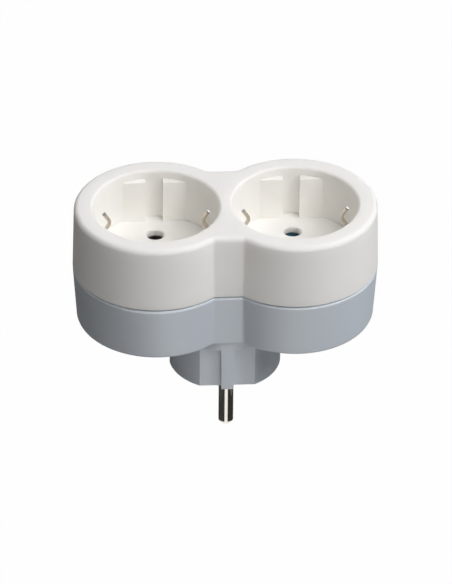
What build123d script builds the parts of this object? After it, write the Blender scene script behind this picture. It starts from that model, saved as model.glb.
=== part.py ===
"""Two-way earthed socket adapter with a round-pin plug body.

Millimetres. X runs through both sockets, Y through the two pins of each, and Z is up.
The origin is the centre of the plug's end face, so the plug pins reach below it.
"""

import math
import os

from build123d import *

os.makedirs("parts", exist_ok=True)

# Plug and socket system
pin_spacing = 19.0
pin_diameter = 4.8
pin_length = 19.0
pin_tip_rounding = 1.8
recess_diameter = 39.0
recess_depth = 17.3
pin_hole_diameter = 5.4
pin_hole_chamfer = 0.4
guide_span = 33.6
guide_groove = 5.4
guide_drop = 2.9

# Casing, with its widths at the seam between cover and housing
socket_pitch = 43.0
drum_diameter = 52.2
bridge_depth = 39.5
cover_height = 21.25
cover_draft = 0.7
housing_height = 18.5
housing_draft = 1.05
wall = 2.2
rim_thickness = 2.2
recess_floor = 2.4
cup_wall = 2.2
housing_floor = 2.0
rim_rounding = 1.6
waist_rounding = 1.0
recess_rounding = 0.8
base_rounding = 1.2
seam_rounding = 0.8
seam_gap = 0.6
lap_depth = 1.0
lap_height = 2.0
fit_gap = 0.15

# Plug body
plug_diameter = 35.4
plug_height = 17.85
plug_flat_span = 30.9
plug_flat_height = 14.9
plug_rib_width = 4.2
plug_rib_draft = 0.2
plug_wall = 2.2
plug_end_wall = 2.5
pin_boss_wall = 1.2

# Live parts
pin_gap = 0.05
pin_root_diameter = 5.4
pin_flange_diameter = 7.4
pin_flange_height = 1.2
pin_stub_diameter = 3.4
pin_head_diameter = 5.0
pin_head_height = 0.5
busbar_width = 7.0
busbar_thickness = 0.8
busbar_groove = 0.4
spring_thickness = 0.5
spring_width = 6.0
spring_base = 6.8
spring_height = 15.5
spring_throat = 4.3
spring_throat_height = 12.0
spring_leaf_height = 6.5
spring_mouth = 7.2
spring_bend = 0.8
rivet_diameter = 2.5
rivet_head_diameter = 4.2
rivet_head_height = 0.4

# Earth parts
wire_diameter = 1.2
wire_hole_gap = 0.4
wire_seat_gap = 0.2
bow_tip_reach = 16.2
bow_tip_drop = 2.75
bow_crest_reach = 14.55
bow_crest_drop = 5.3
bow_crest_height = 1.4
bow_foot_reach = 16.6
bow_foot_drop = 9.9
bow_bend = 2.2
bow_turn = 1.3
bow_base_offset = 5.5
earth_thickness = 0.8
earth_bend = 0.4
plug_contact_inset = 1.3
plug_contact_width = 4.0
plug_contact_end = 1.0
plug_channel_width = 5.0
riser_width = 8.0
riser_foot = 3.0
shelf_width = 18.0
shelf_depth = 5.0

# Screws from below into the cover
screw_diameter = 3.0
screw_length = 14.0
screw_gap = 0.2
thread_gap = 0.05
screw_head_diameter = 5.5
screw_head_height = 2.0
screw_head_sink = 0.8
screw_slot_width = 0.8
screw_slot_depth = 1.0
post_wall = 1.0
post_height = 7.5
boss_wall = 2.1
boss_end_gap = 0.5

# Heights that follow from the sizes above
housing_base_z = plug_height
housing_floor_z = housing_base_z + housing_floor
seam_z = housing_base_z + housing_height
cover_base_z = seam_z + seam_gap
rim_z = cover_base_z + cover_height
rim_under_z = rim_z - rim_thickness
recess_z = rim_z - recess_depth
recess_under_z = recess_z - recess_floor
busbar_z = housing_floor_z - busbar_groove
busbar_top_z = busbar_z + busbar_thickness
spring_base_z = busbar_top_z + spring_thickness
post_top_z = housing_floor_z + post_height
screw_seat_z = housing_base_z + screw_head_sink + screw_head_height
bracket_top_z = housing_floor_z + earth_thickness
wire_z = recess_under_z - wire_seat_gap - wire_diameter / 2
shelf_top_z = wire_z - wire_diameter / 2 - wire_seat_gap

# Places in plan
sockets = {"left": -socket_pitch / 2, "right": socket_pitch / 2}
pin_rows = {"front": -pin_spacing / 2, "rear": pin_spacing / 2}
socket_centres = [(x, 0) for x in sockets.values()]
plug_pin_centres = [(0, y) for y in pin_rows.values()]
socket_pin_centres = [(x, y) for x in sockets.values() for y in pin_rows.values()]
earth_hole_centres = [
    (x + side * bow_foot_reach, 0) for x in sockets.values() for side in (-1, 1)
]
plug_contact_x = plug_diameter / 2 - plug_contact_inset
plug_channel_x = plug_contact_x - earth_thickness - earth_bend - fit_gap

# Widths that follow from a fit
recess_radius = recess_diameter / 2
pin_boss_diameter = pin_flange_diameter + 2 * fit_gap + 2 * pin_boss_wall
screw_sink_diameter = screw_head_diameter + 2 * screw_gap
post_diameter = screw_sink_diameter + 2 * post_wall
boss_diameter = screw_diameter + 2 * boss_wall


def outline(inset):
    """The casing's outline at the seam, moved inwards: two circles, a bridge and a rounded waist."""
    with BuildSketch() as shape:
        with Locations(*socket_centres):
            Circle(drum_diameter / 2 + waist_rounding)
        Rectangle(socket_pitch, bridge_depth + 2 * waist_rounding)
        offset(amount=-waist_rounding - inset, mode=Mode.REPLACE)
    return shape.sketch


def casing(seam, far, inset, draft, mode=Mode.ADD):
    """The outline drawn out from the seam to a far height, where it is narrower by the draft."""
    with BuildSketch(Plane.XY.offset(seam)) as start:
        add(outline(inset))
    height = far - seam
    extrude(start.sketch, amount=height, taper=math.degrees(math.atan(draft / abs(height))), mode=mode)


# Ivory cover: a tapered skirt, two cups hung from the rim, and bosses under their floors
with BuildPart() as socket_cover:
    casing(cover_base_z, rim_z, 0, cover_draft)
    fillet(socket_cover.edges().filter_by_position(Axis.Z, rim_z, rim_z), rim_rounding)
    inner_draft = cover_draft * (rim_under_z - cover_base_z) / cover_height
    casing(cover_base_z, rim_under_z, wall, inner_draft, mode=Mode.SUBTRACT)
    # Tongue that laps inside the housing's top edge
    with BuildSketch(Plane.XY.offset(cover_base_z)):
        add(outline(wall - lap_depth + fit_gap))
        add(outline(wall), mode=Mode.SUBTRACT)
    extrude(amount=-seam_gap - lap_height)
    with BuildSketch(Plane.XY.offset(recess_under_z)):
        with Locations(*socket_centres):
            Circle(recess_radius + cup_wall)
    extrude(amount=rim_under_z - recess_under_z)
    with BuildSketch(Plane.XY.offset(post_top_z)):
        with Locations(*socket_centres):
            Circle(boss_diameter / 2)
    extrude(amount=recess_under_z - post_top_z)
    with BuildSketch(Plane.XY.offset(recess_z)):
        with Locations(*socket_centres):
            Circle(recess_radius)
    extrude(amount=recess_depth, mode=Mode.SUBTRACT)
    # Flat guides at the front and rear of each recess, split by a groove for the plug's rib
    with BuildSketch(Plane.XY.offset(recess_z)):
        with Locations(*socket_centres):
            Circle(recess_radius + cup_wall / 2)
            Rectangle(recess_diameter + cup_wall, guide_span, mode=Mode.SUBTRACT)
            Rectangle(guide_groove, recess_diameter + cup_wall, mode=Mode.SUBTRACT)
    extrude(amount=recess_depth - guide_drop)
    with BuildSketch(Plane.XY.offset(recess_z)):
        with Locations(*socket_pin_centres):
            Circle(pin_hole_diameter / 2)
        with Locations(*earth_hole_centres):
            Circle(wire_diameter / 2 + wire_hole_gap)
    extrude(amount=-recess_floor, mode=Mode.SUBTRACT)
    with Locations(*[(x, y, recess_z - pin_hole_chamfer / 2) for x, y in socket_pin_centres]):
        Cone(
            pin_hole_diameter / 2,
            pin_hole_diameter / 2 + pin_hole_chamfer,
            pin_hole_chamfer,
            mode=Mode.SUBTRACT,
        )
    pilot_depth = screw_seat_z + screw_length + boss_end_gap - post_top_z
    with BuildSketch(Plane.XY.offset(post_top_z)):
        with Locations(*socket_centres):
            Circle(screw_diameter / 2 + thread_gap)
    extrude(amount=pilot_depth, mode=Mode.SUBTRACT)
    rim_circles = socket_cover.edges().filter_by(GeomType.CIRCLE).filter_by_position(
        Axis.Z, rim_z, rim_z
    )
    fillet(
        [e for e in rim_circles if abs(e.radius - recess_radius) < fit_gap],
        recess_rounding,
    )
socket_cover.part.label = "socket_cover"
export_step(socket_cover.part, "parts/socket_cover.step")

# Blue-grey housing: a tapered tray with a lap joint, screw posts and the plug body in one piece
with BuildPart() as lower_housing:
    # Plug ribs: a tapered web across the plug, trimmed to its round outline
    rib_foot_width = plug_rib_width - 2 * plug_rib_draft
    with BuildSketch(Plane.XZ):
        with BuildLine():
            Polyline(
                (-rib_foot_width / 2, 0),
                (rib_foot_width / 2, 0),
                (plug_rib_width / 2, plug_flat_height),
                (-plug_rib_width / 2, plug_flat_height),
                close=True,
            )
        make_face()
    extrude(amount=plug_diameter, both=True)
    with BuildSketch(Plane.XY):
        Circle(plug_diameter / 2)
    extrude(amount=plug_flat_height, mode=Mode.INTERSECT)
    # Tray, with a rebate round its top edge
    casing(seam_z, housing_base_z, 0, housing_draft)
    for height, rounding in ((housing_base_z, base_rounding), (seam_z, seam_rounding)):
        fillet(lower_housing.edges().filter_by_position(Axis.Z, height, height), rounding)
    inner_draft = housing_draft * (seam_z - housing_floor_z) / housing_height
    casing(seam_z, housing_floor_z, wall, inner_draft, mode=Mode.SUBTRACT)
    with BuildSketch(Plane.XY.offset(seam_z)):
        add(outline(wall - lap_depth))
    extrude(amount=-lap_height - fit_gap, mode=Mode.SUBTRACT)
    with BuildSketch(Plane.XY.offset(housing_base_z)):
        with Locations(*socket_centres):
            Circle(post_diameter / 2)
    extrude(amount=post_top_z - housing_base_z)
    # Plug body: a round collar and a core with two flats, which takes in the ribs
    with BuildSketch(Plane.XY.offset(plug_flat_height)):
        Circle(plug_diameter / 2)
    extrude(amount=housing_floor_z - plug_flat_height)
    with BuildSketch(Plane.XY):
        Circle(plug_diameter / 2)
        Rectangle(plug_diameter, plug_flat_span, mode=Mode.INTERSECT)
    extrude(amount=plug_flat_height)
    # The plug body is cored out from above, round the two pin bosses
    with BuildSketch(Plane.XY.offset(plug_end_wall)):
        Circle(plug_diameter / 2 - plug_wall)
        Rectangle(
            2 * (plug_channel_x - plug_wall),
            plug_flat_span - 2 * plug_wall,
            mode=Mode.INTERSECT,
        )
        with Locations(*plug_pin_centres):
            Circle(pin_boss_diameter / 2, mode=Mode.SUBTRACT)
    extrude(amount=housing_floor_z - plug_end_wall, mode=Mode.SUBTRACT)
    # Seats for the pins and busbars
    with BuildSketch(Plane.XY.offset(busbar_z)):
        with Locations(*plug_pin_centres):
            SlotCenterToCenter(socket_pitch, busbar_width + 2 * fit_gap)
    extrude(amount=busbar_groove, mode=Mode.SUBTRACT)
    with BuildSketch(Plane.XY.offset(busbar_z)):
        with Locations(*plug_pin_centres):
            Circle(pin_flange_diameter / 2 + fit_gap)
    extrude(amount=-pin_flange_height, mode=Mode.SUBTRACT)
    with BuildSketch(Plane.XY.offset(busbar_z)):
        with Locations(*socket_pin_centres):
            Circle(rivet_head_diameter / 2 + fit_gap)
    extrude(amount=-rivet_head_height - fit_gap, mode=Mode.SUBTRACT)
    with BuildSketch(Plane.XY):
        with Locations(*plug_pin_centres):
            Circle(pin_root_diameter / 2 + pin_gap)
    extrude(amount=busbar_z, mode=Mode.SUBTRACT)
    # Side channels and floor slots for the plug's earth contacts
    for side in (-1, 1):
        with BuildSketch(Plane.XY):
            with Locations((side * (plug_channel_x + plug_diameter / 4), 0)):
                Rectangle(plug_diameter / 2, plug_channel_width)
        extrude(amount=plug_flat_height, mode=Mode.SUBTRACT)
        slot_outer_x = plug_contact_x + fit_gap
        with BuildSketch(Plane.XY.offset(plug_flat_height)):
            with Locations((side * (plug_channel_x + slot_outer_x) / 2, 0)):
                Rectangle(slot_outer_x - plug_channel_x, plug_contact_width + 2 * fit_gap)
        extrude(amount=housing_floor_z - plug_flat_height, mode=Mode.SUBTRACT)
    # Screw holes, with sunk seats for the heads
    with BuildSketch(Plane.XY.offset(housing_base_z)):
        with Locations(*socket_centres):
            Circle(screw_sink_diameter / 2)
    extrude(amount=screw_seat_z - housing_base_z, mode=Mode.SUBTRACT)
    with BuildSketch(Plane.XY.offset(screw_seat_z)):
        with Locations(*socket_centres):
            Circle(screw_diameter / 2 + screw_gap)
    extrude(amount=post_top_z - screw_seat_z, mode=Mode.SUBTRACT)
lower_housing.part.label = "lower_housing"
export_step(lower_housing.part, "parts/lower_housing.step")

# Plug pins: a round-ended pin, a thicker root, a flange under the busbar, and a stub peened over it
for row, row_y in pin_rows.items():
    with BuildPart() as plug_pin:
        with BuildSketch(Plane((0, row_y, -pin_length))):
            Circle(pin_diameter / 2)
        extrude(amount=pin_length)
        fillet(plug_pin.edges().sort_by(Axis.Z)[0], pin_tip_rounding)
        with BuildSketch(Plane((0, row_y, 0))):
            Circle(pin_root_diameter / 2)
        extrude(amount=busbar_z)
        with BuildSketch(Plane((0, row_y, busbar_z))):
            Circle(pin_flange_diameter / 2)
        extrude(amount=-pin_flange_height)
        with BuildSketch(Plane((0, row_y, busbar_z))):
            Circle(pin_stub_diameter / 2)
        extrude(amount=busbar_thickness)
        with BuildSketch(Plane((0, row_y, busbar_top_z))):
            Circle(pin_head_diameter / 2)
        extrude(amount=pin_head_height)
    plug_pin.part.label = f"plug_pin_{row}"
    export_step(plug_pin.part, f"parts/plug_pin_{row}.step")

# Busbars: flat strips along each row of pins
for row, row_y in pin_rows.items():
    with BuildPart() as busbar:
        with BuildSketch(Plane((0, row_y, busbar_z))):
            SlotCenterToCenter(socket_pitch, busbar_width)
            Circle(pin_stub_diameter / 2 + pin_gap, mode=Mode.SUBTRACT)
            with Locations(*socket_centres):
                Circle(rivet_diameter / 2 + pin_gap, mode=Mode.SUBTRACT)
        extrude(amount=busbar_thickness)
    busbar.part.label = f"busbar_{row}"
    export_step(busbar.part, f"parts/busbar_{row}.step")

# Contact springs: a strip folded to two leaves that pinch the pin and open above it
for row, row_y in pin_rows.items():
    for side, socket_x in sockets.items():
        base_x = (spring_base - spring_thickness) / 2
        throat_x = (spring_throat + spring_thickness) / 2
        mouth_x = (spring_mouth - spring_thickness) / 2
        leaf = [
            (mouth_x, spring_height),
            (throat_x, spring_throat_height),
            (base_x, spring_leaf_height),
            (base_x, spring_thickness / 2),
        ]
        other_leaf = [(-x, z) for x, z in leaf[::-1]]
        across = Plane((socket_x, row_y, busbar_top_z), x_dir=(1, 0, 0), z_dir=(0, -1, 0))
        with BuildPart() as contact_spring:
            with BuildSketch(across):
                with BuildLine():
                    FilletPolyline(*leaf, *other_leaf, radius=spring_bend)
                trace(line_width=spring_thickness)
            extrude(amount=spring_width / 2, both=True)
            with BuildSketch(Plane((socket_x, row_y, busbar_top_z))):
                Circle(rivet_diameter / 2 + pin_gap)
            extrude(amount=spring_thickness, mode=Mode.SUBTRACT)
        contact_spring.part.label = f"contact_spring_{row}_{side}"
        export_step(contact_spring.part, f"parts/contact_spring_{row}_{side}.step")

# Rivets that join the springs to the busbars
with BuildPart() as spring_rivets:
    with BuildSketch(Plane.XY.offset(busbar_z)):
        with Locations(*socket_pin_centres):
            Circle(rivet_diameter / 2)
    extrude(amount=spring_base_z - busbar_z)
    with BuildSketch(Plane.XY.offset(busbar_z), Plane.XY.offset(spring_base_z + rivet_head_height)):
        with Locations(*socket_pin_centres):
            Circle(rivet_head_diameter / 2)
    extrude(amount=-rivet_head_height)
spring_rivets.part.label = "spring_rivets"
export_step(spring_rivets.part, "parts/spring_rivets.step")

# Earth bows: one spring wire for each socket, a staple under the floor with both ends bowed inwards
for side, socket_x in sockets.items():
    with BuildPart() as earth_bow:
        with BuildLine() as wire:
            for hand in (1, -1):
                crest_x = socket_x + hand * bow_crest_reach
                foot_x = socket_x + hand * bow_foot_reach
                FilletPolyline(
                    (socket_x + hand * bow_tip_reach, 0, rim_z - bow_tip_drop),
                    (crest_x, 0, rim_z - bow_crest_drop),
                    (crest_x, 0, rim_z - bow_crest_drop - bow_crest_height),
                    (foot_x, 0, rim_z - bow_foot_drop),
                    (foot_x, 0, recess_z),
                    radius=bow_bend,
                )
            FilletPolyline(
                (socket_x + bow_foot_reach, 0, recess_z),
                (socket_x + bow_foot_reach, 0, wire_z),
                (socket_x + bow_foot_reach, bow_base_offset, wire_z),
                (socket_x - bow_foot_reach, bow_base_offset, wire_z),
                (socket_x - bow_foot_reach, 0, wire_z),
                (socket_x - bow_foot_reach, 0, recess_z),
                radius=bow_turn,
            )
        path = wire.wires()[0]
        with BuildSketch(Plane(path @ 0, z_dir=path % 0)):
            Circle(wire_diameter / 2)
        sweep(path=path)
    earth_bow.part.label = f"earth_bow_{side}"
    export_step(earth_bow.part, f"parts/earth_bow_{side}.step")

# Plug earth bracket: a strip across the housing's floor, folded down at both ends
with BuildPart() as plug_earth_bracket:
    leg_x = plug_contact_x - earth_thickness / 2
    bar_z = housing_floor_z + earth_thickness / 2
    with BuildSketch(Plane.XZ):
        with BuildLine():
            FilletPolyline(
                (-leg_x, plug_contact_end),
                (-leg_x, bar_z),
                (leg_x, bar_z),
                (leg_x, plug_contact_end),
                radius=earth_bend + earth_thickness / 2,
            )
        trace(line_width=earth_thickness)
    extrude(amount=plug_contact_width / 2, both=True)
    with BuildSketch(Plane.XY.offset(housing_floor_z)):
        Circle(rivet_diameter / 2 + pin_gap)
    extrude(amount=earth_thickness, mode=Mode.SUBTRACT)
plug_earth_bracket.part.label = "plug_earth_bracket"
export_step(plug_earth_bracket.part, "parts/plug_earth_bracket.step")

# Earth strip: a foot on the bracket, a riser, and a shelf under both earth wires
with BuildPart() as earth_strip:
    foot_z = bracket_top_z + earth_thickness / 2
    shelf_z = shelf_top_z - earth_thickness / 2
    with BuildSketch(Plane.YZ):
        with BuildLine():
            FilletPolyline(
                (-riser_foot, foot_z),
                (riser_foot, foot_z),
                (riser_foot, shelf_z),
                (riser_foot + shelf_depth, shelf_z),
                radius=earth_bend + earth_thickness / 2,
            )
        trace(line_width=earth_thickness)
    extrude(amount=riser_width / 2, both=True)
    with BuildSketch(Plane.XY.offset(shelf_top_z)):
        with Locations((0, riser_foot + shelf_depth)):
            Rectangle(
                shelf_width,
                shelf_depth - earth_bend - earth_thickness,
                align=(Align.CENTER, Align.MAX),
            )
    extrude(amount=-earth_thickness)
    with BuildSketch(Plane.XY.offset(bracket_top_z)):
        Circle(rivet_diameter / 2 + pin_gap)
    extrude(amount=earth_thickness, mode=Mode.SUBTRACT)
earth_strip.part.label = "earth_strip"
export_step(earth_strip.part, "parts/earth_strip.step")

# Rivet through the earth strip's foot and the bracket
with BuildPart() as earth_rivet:
    earth_rivet_z = bracket_top_z + earth_thickness
    with BuildSketch(Plane.XY.offset(housing_floor_z)):
        Circle(rivet_diameter / 2)
    extrude(amount=earth_rivet_z - housing_floor_z)
    with BuildSketch(Plane.XY.offset(housing_floor_z), Plane.XY.offset(earth_rivet_z + rivet_head_height)):
        Circle(rivet_head_diameter / 2)
    extrude(amount=-rivet_head_height)
earth_rivet.part.label = "earth_rivet"
export_step(earth_rivet.part, "parts/earth_rivet.step")

# Screws: sunk cross-slotted heads under the housing, shanks in the cover's bosses
with BuildPart() as housing_screws:
    with BuildSketch(Plane.XY.offset(screw_seat_z)):
        with Locations(*socket_centres):
            Circle(screw_diameter / 2)
    extrude(amount=screw_length)
    with BuildSketch(Plane.XY.offset(screw_seat_z)):
        with Locations(*socket_centres):
            Circle(screw_head_diameter / 2)
    extrude(amount=-screw_head_height)
    with BuildSketch(Plane.XY.offset(screw_seat_z - screw_head_height)):
        with Locations(*socket_centres):
            Rectangle(screw_diameter, screw_slot_width)
            Rectangle(screw_slot_width, screw_diameter)
    extrude(amount=screw_slot_depth, mode=Mode.SUBTRACT)
housing_screws.part.label = "housing_screws"
export_step(housing_screws.part, "parts/housing_screws.step")
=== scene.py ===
"""Looks for a two-way earthed socket adapter: moulded plastics, plated metal, studio stage."""

import math

import bmesh
import bpy
from mathutils import Matrix, Vector


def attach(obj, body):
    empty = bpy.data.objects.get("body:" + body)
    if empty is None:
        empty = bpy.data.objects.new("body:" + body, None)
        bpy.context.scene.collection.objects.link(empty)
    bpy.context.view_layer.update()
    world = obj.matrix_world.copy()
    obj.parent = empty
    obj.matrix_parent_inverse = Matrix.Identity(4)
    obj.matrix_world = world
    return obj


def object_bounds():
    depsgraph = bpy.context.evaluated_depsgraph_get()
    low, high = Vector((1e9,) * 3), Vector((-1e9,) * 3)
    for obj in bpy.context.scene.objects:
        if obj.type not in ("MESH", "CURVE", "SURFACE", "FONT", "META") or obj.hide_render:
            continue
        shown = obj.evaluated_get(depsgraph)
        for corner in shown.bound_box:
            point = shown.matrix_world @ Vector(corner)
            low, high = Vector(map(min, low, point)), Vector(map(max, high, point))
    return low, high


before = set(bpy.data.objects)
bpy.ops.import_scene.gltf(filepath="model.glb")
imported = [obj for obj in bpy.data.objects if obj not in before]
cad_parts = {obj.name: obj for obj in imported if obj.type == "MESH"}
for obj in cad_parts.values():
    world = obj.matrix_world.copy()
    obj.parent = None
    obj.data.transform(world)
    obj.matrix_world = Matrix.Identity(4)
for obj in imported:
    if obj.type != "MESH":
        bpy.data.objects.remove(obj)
cad_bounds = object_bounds()

bl_info = {
    "name": "Socket Adapter Looks",
    "version": (1, 0, 0),
    "blender": (4, 5, 0),
    "location": "View3D > Sidebar > Adapter",
    "description": "Dresses the packed socket adapter and sets its studio stage",
    "category": "Object",
}

# Places on the adapter, in metres
SOCKET_CENTRE = 0.0215
PIN_ROW = 0.0095
SOCKET_FLOOR_UNDERSIDE = 0.0385
SHIELD_HANGER = Vector((SOCKET_CENTRE, PIN_ROW, SOCKET_FLOOR_UNDERSIDE))

# Facets round each of the shield's bends
SHIELD_BEND_STEPS = 5

# The earth bows' ends: the wire's direction there, outward and up, and the end face's middle,
# by its reach from the socket's centre and its height, in metres. The painted shade round each end
# and the end face start so far along the wire from that middle. On left-hand ends the painted shade
# is fainter. The end faces get a painted highlight on right-hand ends and painted shade on
# left-hand ends.
BOW_LEAN = (0.543, 0.840)
BOW_TIP_REACH = 0.0162
BOW_TIP_HEIGHT = 0.05545
BOW_END = BOW_LEAN[0] * BOW_TIP_REACH + BOW_LEAN[1] * BOW_TIP_HEIGHT
BOW_SHADE_START = -0.00042
BOW_SHADE_FULL = -0.00032
BOW_FACE_START = -0.00003
BOW_LEFT_SHADE = 0.45

# The photograph, in pixels, the camera's sensor, in millimetres, and its reach, in metres
IMAGE_WIDTH = 452
IMAGE_HEIGHT = 584
SENSOR = 36.0
CLIP_END = 50.0

# Softboxes: azimuth from the front to the right and elevation, in degrees, width in metres
LIT_POINT = Vector((0.0, 0.0, 0.035))
SOFTBOX_DISTANCE = 1.2
SOFTBOX_PLACES = {
    "key_softbox": (43, 60, 1.1),
    "side_softbox": (60, 44, 0.5),
    "right_softbox": (95, 34, 0.7),
    "front_softbox": (8, 25, 0.7),
    "low_softbox": (6, -10, 0.7),
    "back_left_softbox": (-138, 47, 0.9),
    "back_right_softbox": (120, 34, 0.7),
}

# The floor, in metres, and the share of it that glows white where it shows
FLOOR_SIZE = 6.0
FLOOR_GREY = (0.5, 0.5, 0.5, 1)
FLOOR_ROUGHNESS = 0.8
FLOOR_GLOW = 0.985
WHITE = (1, 1, 1, 1)

# The studio's dark cards
CARD_BLACK = (0.01, 0.01, 0.01, 1)

# Curved cards: azimuths of both ends, in degrees, and heights of both edges, in metres
FLAG_REACH = 0.25
FLAG_STEPS = 16
FLAGS = {
    "left_pin_flag": (-152, -20, -0.27, -0.14),
    "right_pin_flag": (23, 150, -0.27, -0.14),
    "left_side_flag": (-185, -34, -0.14, 0.06),
    "right_plug_flag": (28, 150, -0.165, -0.10),
}

# Flat cards beside the pins, where the adapter's shade would fall on a table, in metres
SHADE_HEIGHT = -0.021
SHADES = {
    "left_shade": ((-0.018, -0.068), (-0.16, -0.216), (-0.30, 0.10), (-0.018, 0.10)),
    "right_shade": ((0.02, -0.02), (0.075, -0.02), (0.075, 0.06), (0.02, 0.06)),
}

# The upright card that keeps the front lamps off the plug's right side, in metres
BLOCK_LEFT, BLOCK_RIGHT = 0.010, 0.021
BLOCK_BOTTOM, BLOCK_TOP = -0.03, 0.015
BLOCK_FRONT = -0.020
BLOCK = (
    (BLOCK_LEFT, BLOCK_FRONT, BLOCK_BOTTOM),
    (BLOCK_RIGHT, BLOCK_FRONT, BLOCK_BOTTOM),
    (BLOCK_RIGHT, BLOCK_FRONT, BLOCK_TOP),
    (BLOCK_LEFT, BLOCK_FRONT, BLOCK_TOP),
)

# Sockets of a Mix node for colours
MIX_LOW, MIX_HIGH, MIX_RESULT = 6, 7, 2


class Shade:
    """A node's output. Arithmetic on it adds Math nodes."""

    def __init__(self, tree, socket):
        self.tree = tree
        self.socket = socket

    def node(self, kind, settings=None, inputs=None, output=0):
        """Add a node of a kind, set it up, feed its sockets and wrap one of its outputs."""
        made = self.tree.nodes.new(kind)
        for key, value in (settings or {}).items():
            setattr(made, key, value)
        for key, value in (inputs or {}).items():
            if isinstance(value, Shade):
                self.tree.links.new(value.socket, made.inputs[key])
            else:
                made.inputs[key].default_value = value
        return Shade(self.tree, made.outputs[output])

    def _math(self, operation, first, second):
        return self.node("ShaderNodeMath", {"operation": operation}, {0: first, 1: second})

    def __add__(self, other):
        return self._math("ADD", self, other)

    __radd__ = __add__

    def __mul__(self, other):
        return self._math("MULTIPLY", self, other)

    __rmul__ = __mul__

    def __sub__(self, other):
        return self._math("SUBTRACT", self, other)

    def __rsub__(self, other):
        return self._math("SUBTRACT", other, self)

    def __gt__(self, other):
        return self._math("GREATER_THAN", self, other)

    def __abs__(self):
        return self.node("ShaderNodeMath", {"operation": "ABSOLUTE"}, {0: self})

    def larger(self, other):
        """The larger of two values."""
        return self._math("MAXIMUM", self, other)

    def axis(self, letter):
        """One coordinate of a place."""
        return self.node("ShaderNodeSeparateXYZ", None, {"Vector": self}, output=letter)


def new_material(name, constants=None):
    """A material with one Principled shader: its constants set, and its coordinates wrapped."""
    material = bpy.data.materials.new(name)
    material.use_nodes = True
    tree = material.node_tree
    shader = tree.nodes["Principled BSDF"]
    for key, value in (constants or {}).items():
        shader.inputs[key].default_value = value
    place = Shade(tree, tree.nodes.new("ShaderNodeTexCoord").outputs["Object"])
    return material, shader, place


def feed(shader, **links):
    """Link wrapped outputs to a shader's sockets."""
    for key, value in links.items():
        value.tree.links.new(value.socket, shader.inputs[key.replace("_", " ").title()])


def mix_colour(factor, low, high):
    """A colour between two others, each a plain colour or a wrapped output."""
    low, high = (each if isinstance(each, Shade) else (*each, 1.0) for each in (low, high))
    return factor.node(
        "ShaderNodeMix",
        {"data_type": "RGBA"},
        {"Factor": factor, MIX_LOW: low, MIX_HIGH: high},
        output=MIX_RESULT,
    )


def grain(place, scale, stretch=(1.0, 1.0, 1.0), detail=2.0):
    """Noise on a piece, about 1 / scale metres apart."""
    spread = place.node("ShaderNodeMapping", None, {"Vector": place, "Scale": stretch})
    return place.node(
        "ShaderNodeTexNoise", None, {"Vector": spread, "Scale": scale, "Detail": detail}
    )


def relief(height, strength, depth):
    """A bump from a height, as deep as depth in metres."""
    return height.node(
        "ShaderNodeBump", None, {"Height": height, "Strength": strength, "Distance": depth}
    )


def tinted(colour, share):
    """A colour made darker or lighter by a share."""
    return tuple(min(1.0, channel * share) for channel in colour)


def dress(nodes, material):
    """Give CAD nodes one material."""
    for node in nodes:
        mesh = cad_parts[node].data
        mesh.materials.clear()
        mesh.materials.append(material)


class AdapterFinishes(bpy.types.PropertyGroup):
    """Colours of the adapter's materials."""

    ivory: bpy.props.FloatVectorProperty(
        name="Ivory",
        description="Colour of the cover",
        subtype="COLOR", size=3, min=0, max=1, default=(0.96, 0.938, 0.888),
    )
    blue_grey: bpy.props.FloatVectorProperty(
        name="Blue grey",
        description="Colour of the housing",
        subtype="COLOR", size=3, min=0, max=1, default=(0.560, 0.615, 0.670),
    )
    nickel: bpy.props.FloatVectorProperty(
        name="Nickel",
        description="Colour of the plated pins and contacts",
        subtype="COLOR", size=3, min=0, max=1, default=(0.92, 0.88, 0.82),
    )
    wire: bpy.props.FloatVectorProperty(
        name="Spring wire",
        description="Colour of the earth bows",
        subtype="COLOR", size=3, min=0, max=1, default=(0.74, 0.66, 0.56),
    )
    # Painted shade: a dark band round the earth bows' ends, in place of the shade on their rounded
    # edges
    painted_end_shade: bpy.props.FloatVectorProperty(
        name="Wire ends",
        description="Colour of the edge round the earth bows' ends",
        subtype="COLOR", size=3, min=0, max=1, default=(0.09, 0.075, 0.06),
    )
    # Painted highlight: the right-hand end faces are painted bright, the left-hand ones a painted
    # shade of it
    painted_tip_highlight: bpy.props.FloatVectorProperty(
        name="Wire tips",
        description="Colour of the earth bows' bright right-hand end faces",
        subtype="COLOR", size=3, min=0, max=1, default=(0.95, 0.94, 0.92),
    )
    brass: bpy.props.FloatVectorProperty(
        name="Brass",
        description="Colour of the inner strips, springs and rivets",
        subtype="COLOR", size=3, min=0, max=1, default=(0.78, 0.58, 0.27),
    )
    shield_blue: bpy.props.FloatVectorProperty(
        name="Shield blue",
        description="Colour of the shield that shows in the right socket's rear pin hole",
        subtype="COLOR", size=3, min=0, max=1, default=(0.113, 0.35, 0.50),
    )
    screw: bpy.props.FloatVectorProperty(
        name="Screw steel",
        description="Colour of the screws",
        subtype="COLOR", size=3, min=0, max=1, default=(0.58, 0.58, 0.60),
    )


class AdapterShield(bpy.types.PropertyGroup):
    """Sizes of the shield behind the right socket's rear contact."""

    width: bpy.props.FloatProperty(
        name="Width", description="Inside, from wing to wing", unit="LENGTH", default=0.0078,
    )
    back: bpy.props.FloatProperty(
        name="Back",
        description="From the hole's axis back to the shield",
        unit="LENGTH", default=0.0034,
    )
    wing: bpy.props.FloatProperty(
        name="Wing",
        description="From the hole's axis forward to the wings' ends",
        unit="LENGTH", default=0.0015,
    )
    height: bpy.props.FloatProperty(
        name="Height", description="From the socket's floor down", unit="LENGTH", default=0.006,
    )
    thickness: bpy.props.FloatProperty(
        name="Thickness", description="Of the shield's wall", unit="LENGTH", default=0.0006,
    )
    corner: bpy.props.FloatProperty(
        name="Corner", description="Radius of the bends", unit="LENGTH", default=0.001,
    )


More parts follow.
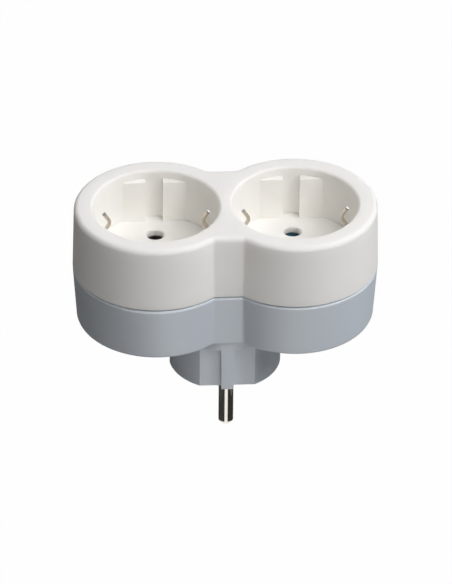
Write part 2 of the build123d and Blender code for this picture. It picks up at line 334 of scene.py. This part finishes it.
class AdapterStage(bpy.types.PropertyGroup):
    """Camera and light of the studio."""

    azimuth: bpy.props.FloatProperty(
        name="Azimuth",
        description="Turn of the view about the vertical",
        subtype="ANGLE", default=math.radians(3.44),
    )
    elevation: bpy.props.FloatProperty(
        name="Elevation",
        description="Height of the view above the horizon",
        subtype="ANGLE", default=math.radians(35.19),
    )
    roll: bpy.props.FloatProperty(
        name="Roll",
        description="Lean of the camera",
        subtype="ANGLE", default=math.radians(0.56),
    )
    distance: bpy.props.FloatProperty(
        name="Distance",
        description="From the camera to its target",
        unit="LENGTH", default=1.1747,
    )
    target: bpy.props.FloatVectorProperty(
        name="Target",
        description="Point at the middle of the picture",
        subtype="TRANSLATION", default=(0.00028, 0.0, 0.0248),
    )
    focal_pixels: bpy.props.FloatProperty(
        name="Focal length", description="In pixels of the photograph", default=3747.4,
    )
    key_power: bpy.props.FloatProperty(
        name="Key light",
        description="Power of the softbox high on the right",
        unit="POWER", default=8.2,
    )
    side_power: bpy.props.FloatProperty(
        name="Side light",
        description="Power of the small softbox on the right",
        unit="POWER", default=3.2,
    )
    right_power: bpy.props.FloatProperty(
        name="Right light",
        description="Power of the softbox square on the right",
        unit="POWER", default=2.1,
    )
    front_power: bpy.props.FloatProperty(
        name="Front light",
        description="Power of the softbox in front, a little lower than the camera",
        unit="POWER", default=1.58,
    )
    low_power: bpy.props.FloatProperty(
        name="Low light",
        description="Power of the softbox in front, below the adapter",
        unit="POWER", default=1.85,
    )
    back_left_power: bpy.props.FloatProperty(
        name="Left rim light",
        description="Power of the softbox behind on the left",
        unit="POWER", default=3.2,
    )
    back_right_power: bpy.props.FloatProperty(
        name="Right rim light",
        description="Power of the softbox behind on the right",
        unit="POWER", default=1.75,
    )
    daylight: bpy.props.FloatVectorProperty(
        name="Daylight",
        description="Colour of the softboxes on the right",
        subtype="COLOR", size=3, min=0, max=1, default=(0.975, 0.98, 1.0),
    )
    room_light: bpy.props.FloatVectorProperty(
        name="Room light",
        description="Colour of the softboxes in front and on the left",
        subtype="COLOR", size=3, min=0, max=1, default=(1.0, 0.955, 0.925),
    )
    fill: bpy.props.FloatProperty(
        name="Fill",
        description="Strength of the even light all round",
        default=0.0, min=0.0,
    )
    floor_drop: bpy.props.FloatProperty(
        name="Floor drop",
        description="From the pins' tips down to the floor",
        unit="LENGTH", default=0.33,
    )


class ADAPTER_OT_ivory_cover(bpy.types.Operator):
    """Finish the cover as smooth ivory moulding with a fine grain"""

    bl_idname = "adapter.ivory_cover"
    bl_label = "Ivory Cover"

    def execute(self, context):
        ivory = context.scene.adapter_finishes.ivory
        material, shader, place = new_material("ivory_moulding", {
            "Specular IOR Level": 0.35,
            "Subsurface Weight": 0.6,
            "Subsurface Radius": (1.0, 0.98, 0.94),
            "Subsurface Scale": 0.004,
        })
        dress(["socket_cover"], material)
        flow = grain(place, scale=70.0)
        skin = grain(place, scale=2600.0)
        feed(
            shader,
            base_color=mix_colour(flow, tinted(ivory, share=0.975), tinted(ivory, share=1.02)),
            roughness=0.50 + 0.08 * flow + 0.06 * skin,
            normal=relief(skin, strength=0.10, depth=0.00003),
        )
        return {"FINISHED"}


class ADAPTER_OT_grey_housing(bpy.types.Operator):
    """Finish the housing and plug body as satin blue-grey moulding with a fine grain"""

    bl_idname = "adapter.grey_housing"
    bl_label = "Blue-grey Housing"

    def execute(self, context):
        grey = context.scene.adapter_finishes.blue_grey
        material, shader, place = new_material("blue_grey_moulding", {
            "IOR": 1.6,
            "Specular IOR Level": 0.9,
        })
        dress(["lower_housing"], material)
        flow = grain(place, scale=90.0)
        skin = grain(place, scale=2200.0)
        feed(
            shader,
            base_color=mix_colour(flow, tinted(grey, share=0.96), tinted(grey, share=1.03)),
            roughness=0.36 + 0.10 * flow + 0.08 * skin,
            normal=relief(skin, strength=0.12, depth=0.00003),
        )
        return {"FINISHED"}


class ADAPTER_OT_plated_metal(bpy.types.Operator):
    """Finish the pins and plug contacts as polished nickel, with fine lines along the pins"""

    bl_idname = "adapter.plated_metal"
    bl_label = "Plated Metal"

    def execute(self, context):
        nickel = context.scene.adapter_finishes.nickel
        material, shader, place = new_material("nickel_plate", {"Metallic": 1.0})
        dress(["plug_pin_front", "plug_pin_rear", "plug_earth_bracket"], material)
        lines = grain(place, scale=60.0, stretch=(60.0, 60.0, 1.0))
        haze = grain(place, scale=300.0)
        feed(
            shader,
            base_color=mix_colour(haze, tinted(nickel, share=0.92), nickel),
            roughness=0.07 + 0.07 * lines + 0.04 * haze,
            normal=relief(lines, strength=0.08, depth=0.00001),
        )
        return {"FINISHED"}


class ADAPTER_OT_earth_wire(bpy.types.Operator):
    """Finish the earth bows as drawn wire, with painted shade round their flat ends and a painted
    highlight on the right-hand end faces
    """

    bl_idname = "adapter.earth_wire"
    bl_label = "Earth Wire"

    def execute(self, context):
        finishes = context.scene.adapter_finishes
        material, shader, place = new_material("spring_wire")
        dress(["earth_bow_left", "earth_bow_right"], material)
        across, height = place.axis("X"), place.axis("Z")
        from_centre = abs(across) - SOCKET_CENTRE
        along = BOW_LEAN[0] * abs(from_centre) + BOW_LEAN[1] * height - BOW_END
        # Painted shade: a dark band just below each bow's end, fainter on left-hand ends
        edge = along.node("ShaderNodeMapRange", None, {
            "Value": along, "From Min": BOW_SHADE_START, "From Max": BOW_SHADE_FULL,
        })
        # The end faces, not metal: a painted highlight on right-hand ends and painted shade on
        # left-hand ends
        painted_face_mask = along > BOW_FACE_START
        right_hand = across * from_centre > 0.0
        skin = grain(place, scale=1500.0)
        clean = mix_colour(skin, tinted(finishes.wire, share=0.85), finishes.wire)
        painted_shade_share = edge * (BOW_LEFT_SHADE + (1.0 - BOW_LEFT_SHADE) * right_hand)
        with_painted_shade = mix_colour(painted_shade_share, clean, finishes.painted_end_shade)
        face = mix_colour(right_hand, tinted(finishes.painted_tip_highlight, share=0.40), finishes.painted_tip_highlight)
        feed(
            shader,
            base_color=mix_colour(painted_face_mask, with_painted_shade, face),
            metallic=1.0 - painted_face_mask,
            roughness=0.24 + 0.12 * skin,
            normal=relief(skin, strength=0.10, depth=0.00002),
        )
        return {"FINISHED"}


class ADAPTER_OT_inner_metal(bpy.types.Operator):
    """Finish the hidden strips, springs, rivets and screws"""

    bl_idname = "adapter.inner_metal"
    bl_label = "Inner Metal"

    def execute(self, context):
        finishes = context.scene.adapter_finishes
        brass_kinds = ("busbar", "contact_spring", "spring_rivets", "earth_strip", "earth_rivet")
        brass_nodes = [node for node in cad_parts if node.startswith(brass_kinds)]
        for name, colour, nodes in (
            ("rolled_brass", finishes.brass, brass_nodes),
            ("screw_steel", finishes.screw, ["housing_screws"]),
        ):
            material, shader, place = new_material(name, {"Metallic": 1.0})
            dress(nodes, material)
            tarnish = grain(place, scale=220.0, detail=4.0)
            skin = grain(place, scale=1800.0, stretch=(1.0, 6.0, 6.0))
            feed(
                shader,
                base_color=mix_colour(tarnish, tinted(colour, share=0.72), colour),
                roughness=0.22 + 0.18 * tarnish + 0.06 * skin,
                normal=relief(skin, strength=0.10, depth=0.00002),
            )
        return {"FINISHED"}


class ADAPTER_OT_blue_shield(bpy.types.Operator):
    """Hang the blue shield under the right socket's floor, round the back of its rear contact"""

    bl_idname = "adapter.blue_shield"
    bl_label = "Blue Shield"

    def execute(self, context):
        blue = context.scene.adapter_finishes.shield_blue
        mesh = bpy.data.meshes.new("blue_shield")
        shape = self.bent_plate(context.scene.adapter_shield)
        shape.to_mesh(mesh)
        shape.free()
        shield = bpy.data.objects.new("blue_shield", mesh)
        context.scene.collection.objects.link(shield)
        material, shader, place = new_material("blue_shield")
        mesh.materials.append(material)
        skin = grain(place, scale=1800.0)
        feed(
            shader,
            base_color=mix_colour(skin, tinted(blue, share=0.9), blue),
            roughness=0.45 + 0.10 * skin,
            normal=relief(skin, strength=0.10, depth=0.00002),
        )
        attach(shield, "root")
        return {"FINISHED"}

    @staticmethod
    def bent_plate(sizes):
        """A plate with two wings bent forward, its top on the socket floor's underside."""
        side = sizes.width / 2
        front = -sizes.wing
        plan = ((-side, front), (-side, sizes.back), (side, sizes.back), (side, front))
        shape = bmesh.new()
        foot = [
            shape.verts.new(SHIELD_HANGER + Vector((x, y, -sizes.height))) for x, y in plan
        ]
        line = [shape.edges.new(pair) for pair in zip(foot, foot[1:])]
        wall = bmesh.ops.extrude_edge_only(shape, edges=line)["geom"]
        top = [each for each in wall if isinstance(each, bmesh.types.BMVert)]
        bmesh.ops.translate(shape, verts=top, vec=(0, 0, sizes.height))
        bends = [edge for edge in shape.edges if len(edge.link_faces) == 2]
        bmesh.ops.bevel(
            shape, geom=bends, offset=sizes.corner, segments=SHIELD_BEND_STEPS, profile=0.5,
            affect="EDGES", material=-1,
        )
        bmesh.ops.recalc_face_normals(shape, faces=shape.faces[:])
        bmesh.ops.solidify(shape, geom=shape.faces[:], thickness=-sizes.thickness)
        bmesh.ops.recalc_face_normals(shape, faces=shape.faces[:])
        return shape


def photo_camera(stage):
    """A camera that shows the adapter as the photograph does."""
    forward = Vector((
        math.sin(stage.azimuth) * math.cos(stage.elevation),
        math.cos(stage.azimuth) * math.cos(stage.elevation),
        -math.sin(stage.elevation),
    ))
    right = forward.cross(Vector((0, 0, 1))).normalized()
    up = right.cross(forward)
    turned_right = math.cos(stage.roll) * right + math.sin(stage.roll) * up
    turned_up = math.cos(stage.roll) * up - math.sin(stage.roll) * right
    lens = bpy.data.cameras.new("photo_camera")
    lens.sensor_width = SENSOR
    lens.lens = stage.focal_pixels * SENSOR / max(IMAGE_WIDTH, IMAGE_HEIGHT)
    lens.clip_end = CLIP_END
    camera = bpy.data.objects.new("photo_camera", lens)
    turn = Matrix((turned_right, turned_up, -forward)).transposed().to_4x4()
    camera.matrix_world = Matrix.Translation(Vector(stage.target) - stage.distance * forward) @ turn
    bpy.context.scene.collection.objects.link(camera)
    bpy.context.scene.camera = camera


def softbox(name, azimuth, elevation, width, power, colour):
    """A round area lamp that faces the adapter, with its azimuth from the front to the right."""
    turn, rise = math.radians(azimuth), math.radians(elevation)
    level = math.cos(rise)
    outward = Vector((math.sin(turn) * level, -math.cos(turn) * level, math.sin(rise)))
    lamp = bpy.data.lights.new(name, "AREA")
    lamp.shape = "DISK"
    lamp.size = width
    lamp.energy = power
    lamp.color = colour
    box = bpy.data.objects.new(name, lamp)
    box.location = LIT_POINT + SOFTBOX_DISTANCE * outward
    box.rotation_euler = (-outward).to_track_quat("-Z", "Y").to_euler()
    bpy.context.scene.collection.objects.link(box)


def seen(tree):
    """1 for rays that show the background straight, in a reflection or through a piece."""
    path = tree.nodes.new("ShaderNodeLightPath")
    camera, glossy, through = (
        Shade(tree, path.outputs[f"Is {ray} Ray"]) for ray in ("Camera", "Glossy", "Transmission")
    )
    return camera.larger(glossy).larger(through)


def white_background(fill):
    """A world that shows white and lights the adapter only as much as fill says."""
    world = bpy.data.worlds.new("studio_world")
    world.use_nodes = True
    bpy.context.scene.world = world
    tree = world.node_tree
    background = tree.nodes["Background"]
    strength = fill + seen(tree) * (1.0 - fill)
    tree.links.new(strength.socket, background.inputs["Strength"])
    background.inputs["Color"].default_value = WHITE


def pale_floor(height):
    """A grey floor that shows almost white in the picture."""
    bpy.ops.mesh.primitive_plane_add(size=FLOOR_SIZE, location=(0, 0, height))
    floor = bpy.context.object
    floor.name = "pale_floor"
    material = bpy.data.materials.new("pale_floor")
    material.use_nodes = True
    tree = material.node_tree
    shader = tree.nodes["Principled BSDF"]
    shader.inputs["Base Color"].default_value = FLOOR_GREY
    shader.inputs["Roughness"].default_value = FLOOR_ROUGHNESS
    shown = seen(tree)
    glow = shown.node("ShaderNodeEmission", None, {"Color": WHITE, "Strength": 1.0})
    lit = Shade(tree, shader.outputs["BSDF"])
    mixed = shown.node("ShaderNodeMixShader", None, {0: shown * FLOOR_GLOW, 1: lit, 2: glow})
    tree.links.new(mixed.socket, tree.nodes["Material Output"].inputs["Surface"])
    floor.data.materials.append(material)


def dark_card(name, shape, material):
    """A card of the studio that shows only as a reflection, with its own shade turned off."""
    mesh = bpy.data.meshes.new(name)
    shape.to_mesh(mesh)
    shape.free()
    mesh.materials.append(material)
    card = bpy.data.objects.new(name, mesh)
    card.visible_camera = False
    card.visible_diffuse = False
    card.visible_shadow = False
    bpy.context.scene.collection.objects.link(card)
    return card


def flag(name, start, end, bottom, top, material):
    """A curved dark card that stands beside the adapter."""
    shape = bmesh.new()
    ends = [shape.verts.new((0, -FLAG_REACH, height)) for height in (bottom, top)]
    edge = [shape.edges.new(ends)]
    turned = Matrix.Rotation(math.radians(start), 4, "Z")
    bmesh.ops.transform(shape, matrix=turned, verts=ends)
    bmesh.ops.spin(
        shape, geom=ends + edge, cent=(0, 0, 0), axis=(0, 0, 1),
        angle=math.radians(end - start), steps=FLAG_STEPS,
    )
    dark_card(name, shape, material)


def flat_card(name, corners, material):
    """A flat dark card."""
    shape = bmesh.new()
    shape.faces.new([shape.verts.new(corner) for corner in corners])
    return dark_card(name, shape, material)


class ADAPTER_OT_studio_stage(bpy.types.Operator):
    """Set the camera, the lamps, the background, the pale floor and the dark cards"""

    bl_idname = "adapter.studio_stage"
    bl_label = "Studio Stage"

    def execute(self, context):
        stage = context.scene.adapter_stage
        context.scene.view_settings.view_transform = "Standard"
        photo_camera(stage)
        for name, power, colour in (
            ("key_softbox", stage.key_power, stage.daylight),
            ("side_softbox", stage.side_power, stage.daylight),
            ("right_softbox", stage.right_power, stage.daylight),
            ("front_softbox", stage.front_power, stage.room_light),
            ("low_softbox", stage.low_power, stage.room_light),
            ("back_left_softbox", stage.back_left_power, stage.room_light),
            ("back_right_softbox", stage.back_right_power, stage.daylight),
        ):
            softbox(name, *SOFTBOX_PLACES[name], power, colour)
        white_background(stage.fill)
        pale_floor(cad_bounds[0][2] - stage.floor_drop)
        self.dark_cards()
        return {"FINISHED"}

    @staticmethod
    def dark_cards():
        """Stand in for the dark parts of the room, and shade the plug's right side."""
        black = bpy.data.materials.new("flag_black")
        black.use_nodes = True
        black.node_tree.nodes["Principled BSDF"].inputs["Base Color"].default_value = CARD_BLACK
        for name, sides in FLAGS.items():
            flag(name, *sides, black)
        for name, corners in SHADES.items():
            flat_card(name, [(x, y, SHADE_HEIGHT) for x, y in corners], black)
        flat_card("right_plug_block", BLOCK, black).visible_shadow = True


class ADAPTER_PT_looks(bpy.types.Panel):
    """Lists the adapter's looks, one button each, and their sizes and colours"""

    bl_idname = "ADAPTER_PT_looks"
    bl_label = "Adapter Looks"
    bl_space_type = "VIEW_3D"
    bl_region_type = "UI"
    bl_category = "Adapter"

    def draw(self, context):
        for operator in OPERATORS:
            self.layout.operator(operator.bl_idname)
        scene = context.scene
        for group in (scene.adapter_finishes, scene.adapter_shield, scene.adapter_stage):
            column = self.layout.column()
            for name in group.bl_rna.properties.keys():
                if name not in {"rna_type", "name"}:
                    column.prop(group, name)


OPERATORS = (
    ADAPTER_OT_ivory_cover,
    ADAPTER_OT_grey_housing,
    ADAPTER_OT_plated_metal,
    ADAPTER_OT_earth_wire,
    ADAPTER_OT_inner_metal,
    ADAPTER_OT_blue_shield,
    ADAPTER_OT_studio_stage,
)
CLASSES = (AdapterFinishes, AdapterShield, AdapterStage, *OPERATORS, ADAPTER_PT_looks)


def register():
    for each in CLASSES:
        bpy.utils.register_class(each)
    bpy.types.Scene.adapter_finishes = bpy.props.PointerProperty(type=AdapterFinishes)
    bpy.types.Scene.adapter_shield = bpy.props.PointerProperty(type=AdapterShield)
    bpy.types.Scene.adapter_stage = bpy.props.PointerProperty(type=AdapterStage)


def unregister():
    del bpy.types.Scene.adapter_stage
    del bpy.types.Scene.adapter_shield
    del bpy.types.Scene.adapter_finishes
    for each in reversed(CLASSES):
        bpy.utils.unregister_class(each)


def main():
    register()
    bpy.ops.adapter.ivory_cover()
    bpy.ops.adapter.grey_housing()
    bpy.ops.adapter.plated_metal()
    bpy.ops.adapter.earth_wire()
    bpy.ops.adapter.inner_metal()
    bpy.ops.adapter.blue_shield()
    bpy.ops.adapter.studio_stage()


if __name__ == "__main__":
    main()
